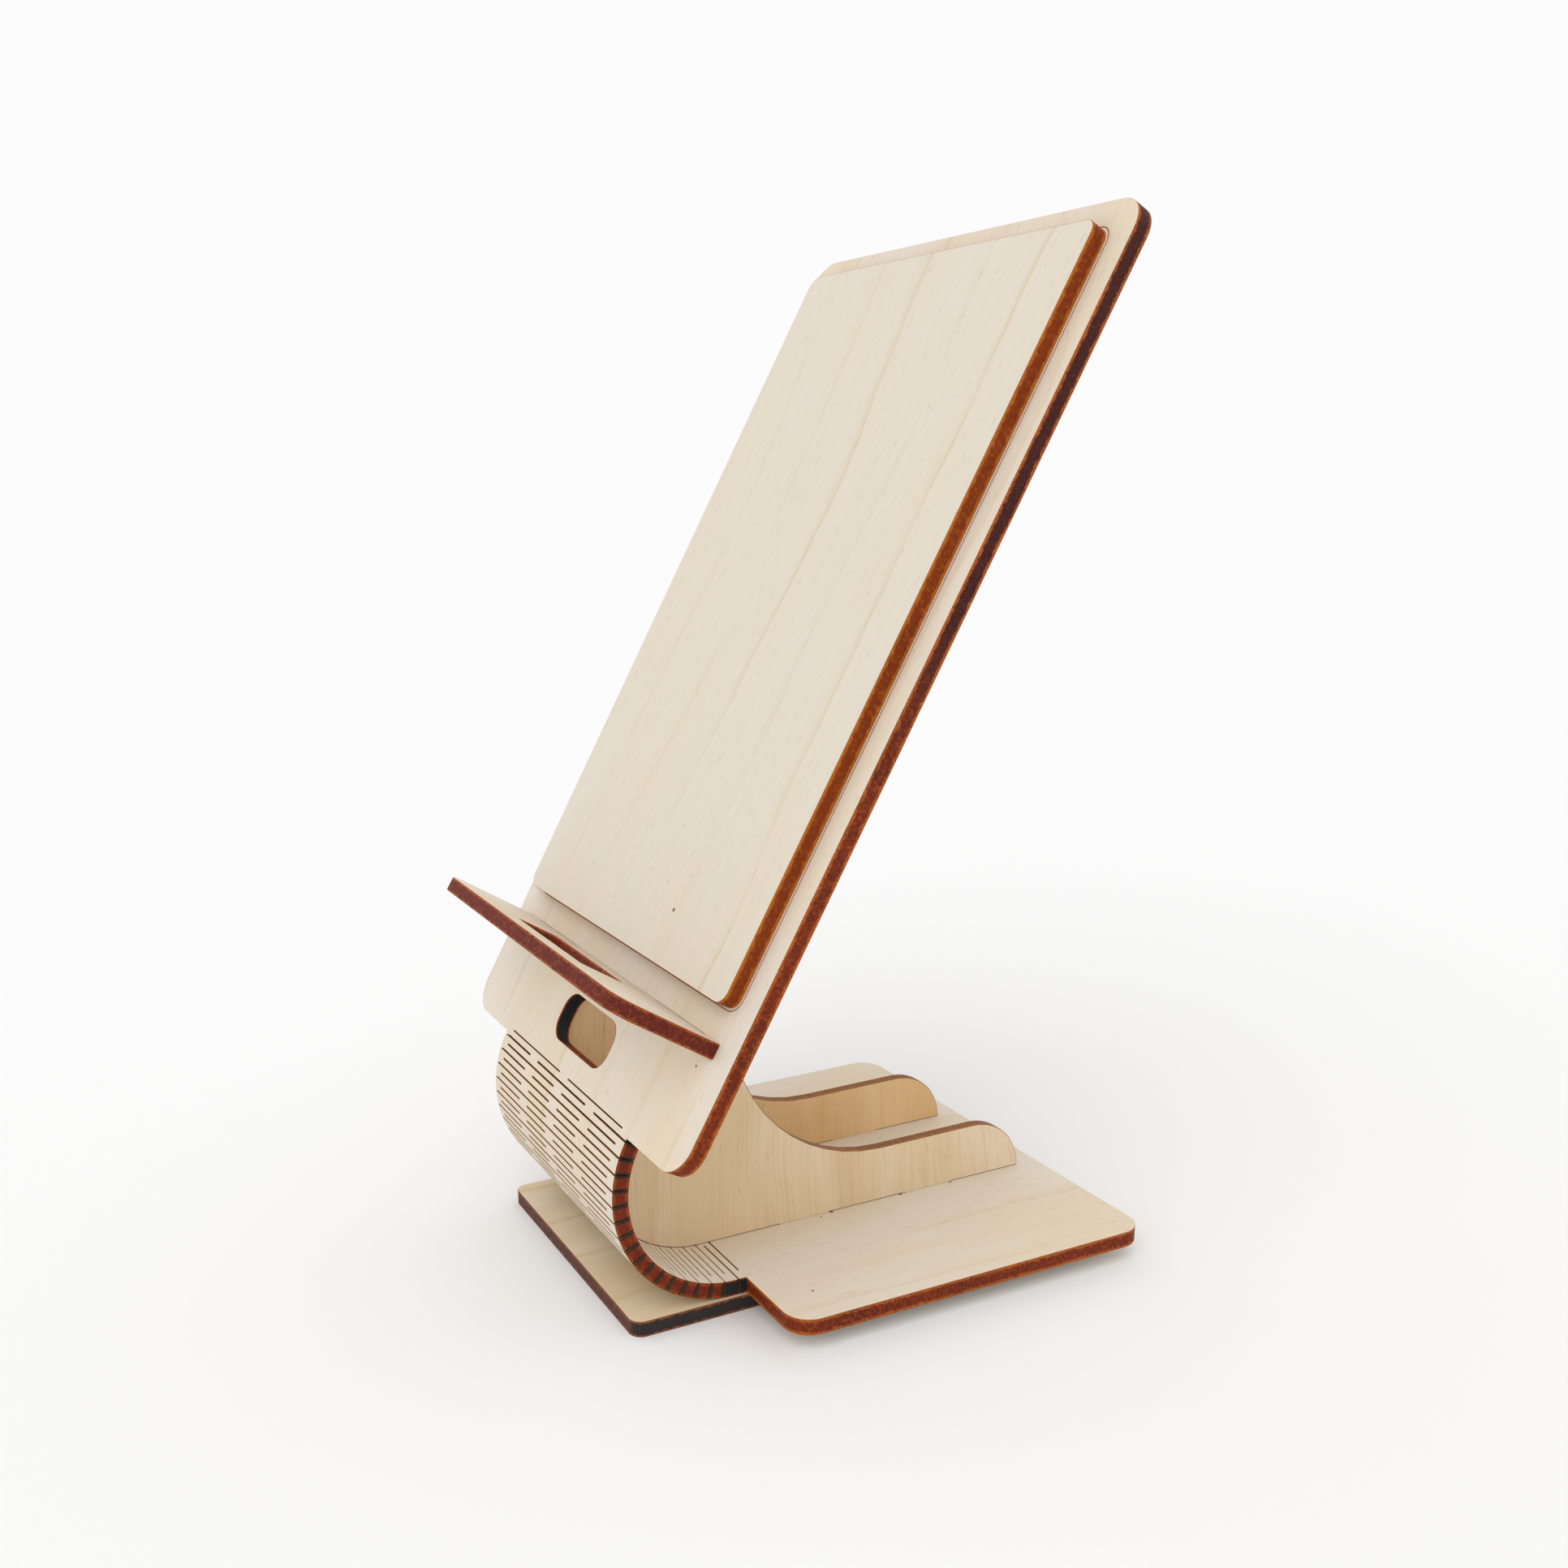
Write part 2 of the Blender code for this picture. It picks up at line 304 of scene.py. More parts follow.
# %% Draw the rows of cuts
HINGE_WIDTH = 57.4 * MM
KERF = 0.24 * MM
KERF_END = 0.11 * MM
ROW_PITCH = 1.412 * MM
ROW_COUNT = 35
FIRST_ROW = -2.1 * MM
BRIDGE = 3.8 * MM
EDGE_BRIDGE = 2.7 * MM

ROWS = [FIRST_ROW + row * ROW_PITCH for row in range(ROW_COUNT)]
HINGE_EDGE = HINGE_WIDTH / 2
NOTCH_START = HINGE_EDGE / 2 + BRIDGE / 4
INNER_CUT = HINGE_EDGE / 2 - BRIDGE * 3 / 4


def kerf(start, end, middle):
    return rectangle(start, middle - KERF / 2, end, middle + KERF / 2, KERF_END)


def hinge_cuts():
    """The cuts that lie inside the outline."""
    cuts = []
    for middle in ROWS[0::2]:
        cuts.append(kerf(BRIDGE / 2, HINGE_EDGE - EDGE_BRIDGE, middle))
        cuts.append(kerf(EDGE_BRIDGE - HINGE_EDGE, -BRIDGE / 2, middle))
    for middle in ROWS[1::2]:
        cuts.append(kerf(-INNER_CUT, INNER_CUT, middle))
    return cuts


def notches():
    """The corners of the open rows' notches, up the right edge of the hinge."""
    corners = []
    for middle in ROWS[1::2]:
        low, high = middle - KERF / 2, middle + KERF / 2
        corners += [(HINGE_EDGE, low, 0), (NOTCH_START, low, KERF_END)]
        corners += [(NOTCH_START, high, KERF_END), (HINGE_EDGE, high, 0)]
    return corners


print(len(hinge_cuts()), "cuts and", 2 * len(ROWS[1::2]), "notches")

# %% [markdown]
# ## The long sheet
#
# The sheet is drawn flat. Its second coordinate runs along the sheet: below zero is the base, then
# comes the hinge, and past the hinge's length the panel. Inside it lie the cable hole, the slots
# for the ledge's tabs and the slots for the ribs' tabs.

# %% Draw the long sheet
PANEL_CORNER = 5.8 * MM
BASE_WIDTH = 92.7 * MM
BASE_START = 2.2 * MM
BASE_END = 76.3 * MM
BASE_CORNER = 4.8 * MM
CABLE_HOLE = (22.6 * MM, 9.3 * MM)
CABLE_HOLE_LOW = 5.4 * MM
CABLE_HOLE_CORNER = 3.7 * MM
LEDGE_TOP = 22.1 * MM
LEDGE_THICK = 2.8 * MM
LEDGE_TILT = math.radians(2.7)
LEDGE_TAB = (17.8 * MM, 36.0 * MM)
BASE_TABS = ((17.0 * MM, 28.0 * MM), (45.0 * MM, 56.0 * MM))
PANEL_TABS = ((45.0 * MM, 56.0 * MM),)
FIT = 0.03 * MM


def sheet_outline():
    base, panel, top = BASE_WIDTH / 2, PANEL_WIDTH / 2, BEND_LENGTH + PANEL_LENGTH
    right = [(base, -BASE_END, BASE_CORNER), (base, -BASE_START, BASE_CORNER)]
    right += [(HINGE_EDGE, -BASE_START, 0), *notches(), (HINGE_EDGE, BEND_LENGTH, 0)]
    right += [(panel, BEND_LENGTH, PANEL_CORNER), (panel, top, PANEL_CORNER)]
    left = [(-x, along, radius) for x, along, radius in reversed(right)]
    return rounded(right + left)


def tab_slots():
    """Slots for the tabs of the ledge and the ribs. The ledge's are taller, as it is tilted."""
    slots = []
    for side in (-1, 1):
        near, far = sorted((side * (LEDGE_TAB[0] - FIT), side * (LEDGE_TAB[1] + FIT)))
        top = BEND_LENGTH + LEDGE_TOP + FIT
        bottom = top - LEDGE_THICK - 2 * FIT - PLY * math.tan(LEDGE_TILT)
        slots.append(rectangle(near, bottom, far, top))
        near, far = sorted((side * (RIB_OUTER - RIB_THICK - FIT), side * (RIB_OUTER + FIT)))
        for start, end in BASE_TABS:
            slots.append(rectangle(near, -end - FIT, far, -start + FIT))
        for start, end in PANEL_TABS:
            slots.append(rectangle(near, BEND_LENGTH + start - FIT, far, BEND_LENGTH + end + FIT))
    return slots


half_hole = CABLE_HOLE[0] / 2
hole_low = BEND_LENGTH + CABLE_HOLE_LOW
hole_high = hole_low + CABLE_HOLE[1]
cable_hole = rectangle(-half_hole, hole_low, half_hole, hole_high, CABLE_HOLE_CORNER)
sheet = laser_cut(sheet_outline(), hinge_cuts() + tab_slots() + [cable_hole], PLY, KERF_SOFT_EDGE)
print("flat sheet:", len(sheet.verts), "points")

# %% [markdown]
# ## The scored line
#
# A fine brown line shows on the panel just outside the pad. It is made here as a shallow groove,
# of the kind a laser scores with little power to show where a piece is to be glued. Paint in the
# material could draw it, but a groove catches light. It is a thin ring, taken away from the flat
# sheet with one Boolean. Of Blender's solvers, Manifold is the one for closed plates such as
# these: it leaves no open edges behind.

# %% Score the pad's place
PAD_CORNER = 2.5 * MM
SCORE_OUTSIDE_PAD = 0.4 * MM
SCORE_WIDTH = 0.18 * MM
SCORE_DEPTH = 0.15 * MM
RING_THICK = 4 * SCORE_DEPTH
RING_SOFT_EDGE = SCORE_WIDTH / 10

PAD_HALF = pad_high.x
pad_back_z = PANEL_FOOT_Z + GAP * math.sin(LEAN)
pad_front_z = PANEL_FOOT_Z + (GAP + SMALL_PLY) * math.sin(LEAN)
PAD_BOTTOM = (pad_low.z - pad_back_z) / math.cos(LEAN)
PAD_TOP = (pad_high.z - pad_front_z) / math.cos(LEAN)


def pad_outline(grow=0.0, lift=0.0):
    """The pad's outline on the panel, grown on all sides. Lift moves it up the flat sheet."""
    low, high = lift + PAD_BOTTOM - grow, lift + PAD_TOP + grow
    return rectangle(-PAD_HALF - grow, low, PAD_HALF + grow, high, PAD_CORNER + grow)


def as_object(name, plate):
    mesh = bpy.data.meshes.new(name)
    plate.to_mesh(mesh)
    plate.free()
    made = bpy.data.objects.new(name, mesh)
    bpy.context.scene.collection.objects.link(made)
    return made


inside = pad_outline(SCORE_OUTSIDE_PAD, BEND_LENGTH)
outside = pad_outline(SCORE_OUTSIDE_PAD + SCORE_WIDTH, BEND_LENGTH)
ring = laser_cut(outside, [inside], RING_THICK, RING_SOFT_EDGE)
bmesh.ops.translate(ring, verts=ring.verts, vec=(0, 0, PLY - SCORE_DEPTH))
sheet_object, ring_object = as_object("flat_sheet", sheet), as_object("score_ring", ring)
score = sheet_object.modifiers.new("score", "BOOLEAN")
score.operation = "DIFFERENCE"
score.solver = "MANIFOLD"
score.object = ring_object
scored = evaluated_mesh(sheet_object)
sheet = bmesh.new()
sheet.from_mesh(scored)
bpy.data.meshes.remove(scored)
for helper in (sheet_object, ring_object):
    bpy.data.meshes.remove(helper.data)
print("scored sheet:", len(sheet.faces), "faces")

# %% [markdown]
# ## Bending it
#
# A curve modifier or a Simple Deform could bend the sheet, but neither keeps the base and panel
# straight and the pitch of the cuts exact. The bend is a short formula instead: along the hinge, a
# length turns into an angle, and a depth in the wood turns into a radius. A flat face can't follow
# a curve until it has edges to fold at, so the sheet first gets a fold on both sides of each row.
#
# Wood hardly stretches. The strips between the rows keep their width, so all the bending shows in
# the cuts: they gape on the outside of the bend and nearly close on the inside.

# %% Fold and bend the long sheet
def opened(along, depth):
    """Shift a point of the hinge so that strips keep their width and the cuts gape or close."""
    row = round((along - FIRST_ROW) / ROW_PITCH)
    if not 0 <= row < ROW_COUNT or not 0 <= ROWS[row] <= BEND_LENGTH:
        return along
    off = along - ROWS[row]
    strip = ROW_PITCH - KERF
    half_cut = (ROW_PITCH - strip * BEND_MIDDLE / (BEND_INNER + depth)) / 2
    if abs(off) <= KERF / 2:
        return ROWS[row] + off * half_cut / (KERF / 2)
    into_strip = (abs(off) - KERF / 2) / (strip / 2)
    return ROWS[row] + math.copysign(half_cut + into_strip * (ROW_PITCH / 2 - half_cut), off)


def bent(x, along, depth):
    """Where a point of the flat sheet ends up. Depth 0 is the base's top and the panel's back."""
    along = opened(along, depth)
    angle = min(max(along / BEND_MIDDLE, 0), BEND_ANGLE)
    radius = BEND_INNER + depth
    straight = along - angle * BEND_MIDDLE
    y = BEND_Y - radius * math.sin(angle) - straight * math.cos(angle)
    z = BEND_Z - radius * math.cos(angle) + straight * math.sin(angle)
    return Vector((x, y, z))


folds = [row + side * KERF / 2 for row in ROWS for side in (-1, 1)] + [0, BEND_LENGTH]
for fold in folds:
    everything = sheet.verts[:] + sheet.edges[:] + sheet.faces[:]
    bmesh.ops.bisect_plane(
        sheet, geom=everything, dist=WELD, plane_co=(0, fold, 0), plane_no=(0, 1, 0)
    )


def in_hinge(spot):
    return abs(spot.x) < HINGE_EDGE - KERF and ROWS[0] - KERF < spot.y < ROWS[-1] + KERF


finish_piece("long_sheet", sheet, PLY, bent, "main_sheet", in_hinge)

# %% [markdown]
# ## The pieces on the panel
#
# The pad is a plain rounded plate glued to the front of the panel. The ledge goes through the
# panel with two tabs and stands out nearly square to it, its front a touch high so that a phone
# can't slide off. Both are placed by one rule: so far up the slope from the hinge, and so far out
# of the panel.

# %% Cut the pad and the ledge
LEDGE_DEPTH = 20.5 * MM
LEDGE_CORNER = 4.5 * MM
LEDGE_SLOT_HALF = 15.3 * MM
LEDGE_SLOT = (5.7 * MM, 14.7 * MM)
LEDGE_SLOT_CORNER = 1.0 * MM


def on_panel(x, up, out):
    return bent(x, BEND_LENGTH + up, PLY + out)


def pad_place(x, up, depth):
    return on_panel(x, up, HAIR + depth)


def ledge_place(x, out, depth):
    """The ledge's plate runs out of the panel, and its depth runs down from its top face."""
    turned_out = out * math.cos(LEDGE_TILT) + depth * math.sin(LEDGE_TILT)
    turned_up = out * math.sin(LEDGE_TILT) - depth * math.cos(LEDGE_TILT)
    return on_panel(x, LEDGE_TOP + turned_up, turned_out)


pad_thick = GAP + SMALL_PLY - HAIR
finish_piece("pad", laser_cut(pad_outline(), [], pad_thick), pad_thick, pad_place, "back_pad")

ledge_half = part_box("phone_ledge")[1].x
tab_near, tab_far = LEDGE_TAB
right_half = [(tab_near, HAIR, 0), (tab_near, -PLY, 0), (tab_far, -PLY, 0), (tab_far, HAIR, 0)]
right_half += [(ledge_half, HAIR, 0), (ledge_half, LEDGE_DEPTH, LEDGE_CORNER)]
left_half = [(-x, out, radius) for x, out, radius in reversed(right_half)]
slot_back, slot_front = LEDGE_SLOT
cable_slot = rectangle(-LEDGE_SLOT_HALF, slot_back, LEDGE_SLOT_HALF, slot_front, LEDGE_SLOT_CORNER)
ledge_plate = laser_cut(rounded(right_half + left_half), [cable_slot], LEDGE_THICK, JOINT_SOFT_EDGE)
finish_piece("ledge", ledge_plate, LEDGE_THICK, ledge_place, "phone_ledge")
print("pad from", round(PAD_BOTTOM / MM, 2), "to", round(PAD_TOP / MM, 2), "mm up the panel")

# %% [markdown]
# ## The ribs
#
# Each rib is a V with a round back that fits inside the bend. One arm stands on the base and the
# other runs up behind the panel, and both end in a quarter circle. The two halves are mirror
# images, so only the base's half is drawn, and the other is its reflection in the line between.

# %% Cut the ribs
RIB_ARM = 10.9 * MM
RIB_REACH = 71.7 * MM
RIB_FILLET = 31.8 * MM
RIB_TOUCH = BEND_INNER - HAIR


def half_rib(tabs):
    """From the round back's middle, along the base and round the arm's end to the inner corner."""
    half_angle, down = BEND_ANGLE / 2, math.radians(-90)
    points = arc(0, 0, RIB_TOUCH, down - half_angle, down)
    for start, end in tabs:
        floor, deep = -RIB_TOUCH, -BEND_INNER - PLY
        points += [(start, floor), (start, deep), (end, deep), (end, floor)]
    first = math.asin(HAIR / RIB_ARM)
    points += arc(RIB_REACH - RIB_ARM, -BEND_INNER, RIB_ARM, first, math.radians(90))
    fillet_z = RIB_ARM + RIB_FILLET - BEND_INNER
    fillet_y = fillet_z * math.tan(half_angle)
    points += arc(fillet_y, fillet_z, RIB_FILLET, down, down - half_angle)
    return points


def mirrored(points):
    turn = math.pi - BEND_ANGLE
    cos, sin = math.cos(turn), math.sin(turn)
    return [(y * cos + z * sin, y * sin - z * cos) for y, z in points]


rib_outline = half_rib(BASE_TABS) + mirrored(half_rib(PANEL_TABS))[-2:0:-1]
for side in ("left", "right"):
    inner_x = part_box(side + "_rib")[0].x
    finish_piece(
        side + "_brace",
        laser_cut(rib_outline, [], RIB_THICK, JOINT_SOFT_EDGE),
        RIB_THICK,
        lambda y, z, depth: Vector((inner_x + depth, BEND_Y + y, BEND_Z + z)),
        side + "_rib",
    )

# %% [markdown]
# ## The foot plate
#
# The lowest piece is a small rectangle under the base. It reaches forwards past the bend, where
# the weight of a phone would tip the stand.

# %% Cut the foot plate
FOOT_CORNER = 2.3 * MM
foot_thick = sheet_low.z - foot_low.z - HAIR
foot_outline = rectangle(foot_low.x, foot_low.y, foot_high.x, foot_high.y, FOOT_CORNER)
foot_plate = laser_cut(foot_outline, [], foot_thick)
finish_piece("foot", foot_plate, foot_thick, lambda x, y, z: Vector((x, y, z)), "foot_plate")

# %% [markdown]
# ## Helpers for materials
#
# A material is a small graph of nodes. A few helpers keep the graphs readable. One of them adds a
# node and joins up its inputs, and the others are short names for the nodes that are used most.
# Colours are written as they look on a screen, from 0 to 255, and turned into the linear numbers
# that Blender's shaders use.

# %% Node helpers
def linear(value):
    """One channel of a screen colour as a linear number, by the sRGB curve."""
    share = value / 255
    return ((share + 0.055) / 1.055) ** 2.4 if value > 10 else share / 12.92


def screen_colour(red, green, blue):
    return (linear(red), linear(green), linear(blue), 1.0)


def add_node(tree, kind, inputs, out=0, **settings):
    """Add a node. Each input is a number or a colour, or the output of another node to link in."""
    new = tree.nodes.new("ShaderNode" + kind)
    for key, value in settings.items():
        setattr(new, key, value)
    for key, value in inputs.items():
        if isinstance(value, bpy.types.NodeSocket):
            tree.links.new(value, new.inputs[key])
        else:
            new.inputs[key].default_value = value
    return new.outputs[out]


def calculate(tree, operation, first, second=0.0, clamp=False):
    return add_node(tree, "Math", {0: first, 1: second}, operation=operation, use_clamp=clamp)


def times(tree, *values):
    """The product of two or more values."""
    product = values[0]
    for value in values[1:]:
        product = calculate(tree, "MULTIPLY", product, value)
    return product


def axes(tree, place):
    """The three numbers of a place: across the grain, along it, deep."""
    split = tree.nodes.new("ShaderNodeSeparateXYZ")
    tree.links.new(place, split.inputs[0])
    return split.outputs


def mix_colours(tree, share, first, second, blend="MIX"):
    inputs = {0: share, 6: first, 7: second}
    return add_node(tree, "Mix", inputs, out=2, data_type="RGBA", blend_type=blend)


def stretched(tree, place, scale, shift=(0.0, 0.0, 0.0)):
    """Scale a place on the board: a small factor stretches what comes after it."""
    return add_node(tree, "Mapping", {"Vector": place, "Scale": scale, "Location": shift})


def noise(tree, place, detail=2.0, roughness=0.5, distortion=0.0):
    inputs = {"Vector": place, "Scale": 1.0, "Detail": detail, "Roughness": roughness}
    inputs["Distortion"] = distortion
    return add_node(tree, "TexNoise", inputs)


def between(tree, value, low, high, smooth=True):
    """0 below low, 1 above high, and smooth in between."""
    inputs = {"Value": value, 1: low, 2: high, 3: 0.0, 4: 1.0}
    kind = "SMOOTHSTEP" if smooth else "LINEAR"
    return add_node(tree, "MapRange", inputs, interpolation_type=kind)


def new_material(name):
    material = bpy.data.materials.new(name)
    material.use_nodes = True
    tree = material.node_tree
    return material, tree, tree.nodes["Principled BSDF"]


def board_place(tree):
    """Where this bit of surface lay on the flat board, in mm: across the grain, along it, deep."""
    return add_node(tree, "Attribute", {}, out=1, attribute_name=BOARD_NOTE)


# %% [markdown]
# ## Bare birch
#
# Birch veneer is pale and quiet. Seen close, it has five things: long fine fibres, tiny dark pores
# drawn out along the grain, a few warm lines where one year's growth ends, broad clouds of
# slightly different tone, and a silky, nearly matt surface.
#
# An image of wood as a texture would be quicker, but it would repeat, stretch round the bend and
# show the same board on every piece. Noise that is stretched along the grain gives the fibres, the
# pores, the clouds and the changing gloss. A distance that repeats across the grain, bent by more
# noise, gives the lines between the years. Each piece gets its own patch of the board by shifting
# the noise.

# %% Mix the birch face
RING_SPACING = 15.0
RING_LINE = screen_colour(202, 168, 112)
PORE = screen_colour(128, 96, 60)
PORE_SHARE = 0.3
SPECK_SHARE = 0.85
BAND_SHARE = 0.6
BIRCH_SPECULAR = 0.25
FIBRE_RELIEF = 0.05 * MM

# How fast each noise changes: across the grain, along it and through the board.
SWAY_STRETCH = (0.012, 0.006, 0.0)
RIPPLE_STRETCH = (0.05, 0.05, 0.0)
CLOUD_STRETCH = (0.06, 0.014, 0.0)
FIBRE_STRETCH = (1.7, 0.05, 0.0)
BAND_STRETCH = (0.42, 0.016, 0.0)
PORE_STRETCH = (2.4, 0.3, 0.0)
PATCH_STRETCH = (0.04, 0.022, 0.0)
PATCH_SHIFT = (9, 4, 0)

# How far the grain wanders to the side, in mm.
SWAY_WIDTH = 26.0
RIPPLE_WIDTH = 2.2


def birch_face(name, pale, warm, board_shift, rings=0.6, streaks=0.3, specks=()):
    material, tree, shader = new_material(name)
    pale, warm = screen_colour(*pale), screen_colour(*warm)
    here = board_place(tree)
    board = add_node(tree, "VectorMath", {0: here, 1: board_shift}, operation="ADD")
    sway = noise(tree, stretched(tree, board, SWAY_STRETCH), detail=2.0)
    wander = times(tree, calculate(tree, "SUBTRACT", sway, 0.5), SWAY_WIDTH)
    ripple = noise(tree, stretched(tree, board, RIPPLE_STRETCH), detail=2.0)
    wander = calculate(tree, "ADD", wander, times(tree, ripple, RIPPLE_WIDTH))
    on_board = axes(tree, board)
    across = calculate(tree, "ADD", on_board[0], wander)
    grain = add_node(tree, "CombineXYZ", {0: across, 1: on_board[1], 2: 0.0})

    clouds = noise(tree, stretched(tree, grain, CLOUD_STRETCH), detail=3.0)
    fibres = noise(tree, stretched(tree, grain, FIBRE_STRETCH), detail=4.0, roughness=0.6)
    bands = noise(tree, stretched(tree, grain, BAND_STRETCH), detail=3.0, roughness=0.55)
    dashes = noise(tree, stretched(tree, grain, PORE_STRETCH), detail=3.0, roughness=0.6)
    pores = between(tree, dashes, 0.6, 0.74)

    count = calculate(tree, "DIVIDE", across, RING_SPACING)
    share = calculate(tree, "FRACT", count)
    rise = calculate(tree, "POWER", between(tree, share, 0.6, 0.96, smooth=False), 6.0)
    fall = calculate(tree, "SUBTRACT", 1.0, between(tree, share, 0.965, 0.995, smooth=False))
    year = {"W": calculate(tree, "FLOOR", count)}
    age = add_node(tree, "TexWhiteNoise", year, noise_dimensions="1D")
    patches = noise(tree, stretched(tree, grain, PATCH_STRETCH, PATCH_SHIFT))
    patchy = between(tree, patches, 0.3, 0.55)
    ring = times(tree, rise, fall, patchy, between(tree, age, -0.4, 0.9), rings)

    colour = mix_colours(tree, between(tree, clouds, 0.32, 0.68), pale, warm)
    colour = mix_colours(tree, ring, colour, RING_LINE)
    band_tone = times(tree, between(tree, bands, 0.48, 0.75), streaks * BAND_SHARE)
    colour = mix_colours(tree, band_tone, colour, RING_LINE)
    fibre_tone = times(tree, between(tree, fibres, 0.45, 0.75), streaks)
    colour = mix_colours(tree, fibre_tone, colour, RING_LINE)
    colour = mix_colours(tree, times(tree, pores, PORE_SHARE), colour, PORE)
    for x, y, deep, size, tone in specks:
        away = add_node(tree, "VectorMath", {0: here, 1: (x, y, deep)}, operation="SUBTRACT")
        reach = add_node(tree, "VectorMath", {0: away}, out=1, operation="LENGTH")
        speck = between(tree, reach, size, size * 0.5)
        colour = mix_colours(tree, times(tree, speck, SPECK_SHARE), colour, tone)
    tree.links.new(colour, shader.inputs["Base Color"])

    roughness = add_node(tree, "Math", {0: fibres, 1: 0.16, 2: 0.52}, operation="MULTIPLY_ADD")
    tree.links.new(roughness, shader.inputs["Roughness"])
    relief = calculate(tree, "SUBTRACT", fibres, times(tree, pores, 0.6))
    bump = add_node(tree, "Bump", {"Strength": 0.35, "Distance": FIBRE_RELIEF, "Height": relief})
    tree.links.new(bump, shader.inputs["Normal"])
    shader.inputs["Specular IOR Level"].default_value = BIRCH_SPECULAR
    return material


# %% [markdown]
# ## Burnt edges
#
# The laser burns its way through, and leaves an edge that is brown and black. Three-ply birch
# shows its layers there: the outer veneers char to a reddish orange brown, and the core between,
# with the glue, goes a dark maroon. Fine streaks run straight through the thickness.
#
# The depth in the board tells the layers apart. Noise bends their border, sets darker and lighter
# stretches, and, squeezed along the cut and stretched through it, makes the streaks.

# %% Mix the burnt edge
PAINTED_GLINT = screen_colour(204, 134, 66)
GLINT_SHARE = 0.55
EMBER_SHARE = 0.4
DARK_FADE = (1.0, 14.0)
DARK_SHARE = 0.9
EDGE_SPECULAR = 0.15
PULSE_RELIEF = 0.06 * MM

# Both are shares of the thickness.
RIM_FADE = 0.14
WOBBLE_WIDTH = 0.42


def burnt_edge(
    name, rim, core, soot, thickness, shift, soot_share=0.55, core_half=0.26, dark_from=None
):
    """Dark_from is (axis, place): past that place on axis 0 or 1 the core turns to soot."""
    material, tree, shader = new_material(name)
    rim, core, soot = screen_colour(*rim), screen_colour(*core), screen_colour(*soot)
    here = board_place(tree)
    board = add_node(tree, "VectorMath", {0: here, 1: shift}, operation="ADD")
    spot = axes(tree, here)
    depth = calculate(tree, "DIVIDE", spot[2], thickness / MM)
    off_middle = calculate(tree, "ABSOLUTE", calculate(tree, "SUBTRACT", depth, 0.5))
    wobble = noise(tree, stretched(tree, board, (0.8, 0.8, 0.5)), detail=4.0, roughness=0.65)
    wobble = times(tree, calculate(tree, "SUBTRACT", wobble, 0.5), WOBBLE_WIDTH)
    layer = calculate(tree, "ADD", off_middle, wobble)
    in_rim = between(tree, layer, core_half, core_half + RIM_FADE)

    pulses = noise(tree, stretched(tree, board, (3.5, 3.5, 0.3)), detail=3.0, roughness=0.7)
    mottle = noise(tree, stretched(tree, board, (1.6, 1.6, 1.3)), detail=4.0, roughness=0.7)
    lengths = noise(tree, stretched(tree, board, (0.06, 0.06, 0.06)), detail=2.0)
    grit = noise(tree, stretched(tree, board, (5.5, 5.5, 5.0)), detail=3.0, roughness=0.65)

    colour = mix_colours(tree, in_rim, core, rim)
    dark = calculate(tree, "ADD", mottle, times(tree, lengths, 0.5))
    dark = times(tree, between(tree, dark, 0.7, 0.95), soot_share)
    colour = mix_colours(tree, dark, colour, soot)
    pulse_tone = times(tree, between(tree, pulses, 0.5, 0.75), soot_share)
    colour = mix_colours(tree, pulse_tone, colour, soot)
    ember = times(tree, between(tree, mottle, 0.48, 0.36), EMBER_SHARE)
    colour = mix_colours(tree, ember, colour, rim)
    if dark_from is not None:
        axis, place = dark_from
        fade = DARK_FADE[axis]
        past = between(tree, spot[axis], place - fade, place + fade)
        inner = calculate(tree, "SUBTRACT", 1.0, in_rim)
        past = times(tree, past, inner, DARK_SHARE)
        colour = mix_colours(tree, past, colour, soot)
    # Painted glints: light orange specks near the veneers stand in for highlights where the rough
    # char catches the light.
    near_rim = between(tree, in_rim, -0.5, 1.0)
    painted_glint = times(tree, between(tree, grit, 0.52, 0.7), near_rim, GLINT_SHARE)
    colour = mix_colours(tree, painted_glint, colour, PAINTED_GLINT)
    tree.links.new(colour, shader.inputs["Base Color"])

    roughness = add_node(tree, "Math", {0: mottle, 1: 0.3, 2: 0.45}, operation="MULTIPLY_ADD")
    tree.links.new(roughness, shader.inputs["Roughness"])
    relief = calculate(tree, "ADD", pulses, times(tree, grit, 0.4))
    bump = add_node(tree, "Bump", {"Strength": 0.5, "Distance": PULSE_RELIEF, "Height": relief})
    tree.links.new(bump, shader.inputs["Normal"])
    shader.inputs["Specular IOR Level"].default_value = EDGE_SPECULAR
    return material


# %% [markdown]
# ## Soot on the long sheet
#
# Smoke leaves a notch through its open end, and stains the edge on both sides of it nearly black.
# The stain is more than twice as wide as the notch and ragged. Between the stains the edge is
# scorched a deeper red than elsewhere. The notches are evenly spaced along the board, so a
# repeating distance finds them all. Two more places are as black: the inner corner where base
# meets hinge, and one side of the cable hole's wall.

# %% Stain the sheet's edge
SOOT = screen_colour(34, 36, 38)
SCORCH = screen_colour(104, 30, 12)
SCORCH_SHARE = 0.5
STAIN_HALF = 0.42


def window(tree, value, low, high, fade):
    """1 from low to high, and fading to 0 outside."""
    rise = between(tree, value, low - fade, low)
    return times(tree, rise, between(tree, value, high + fade, high))


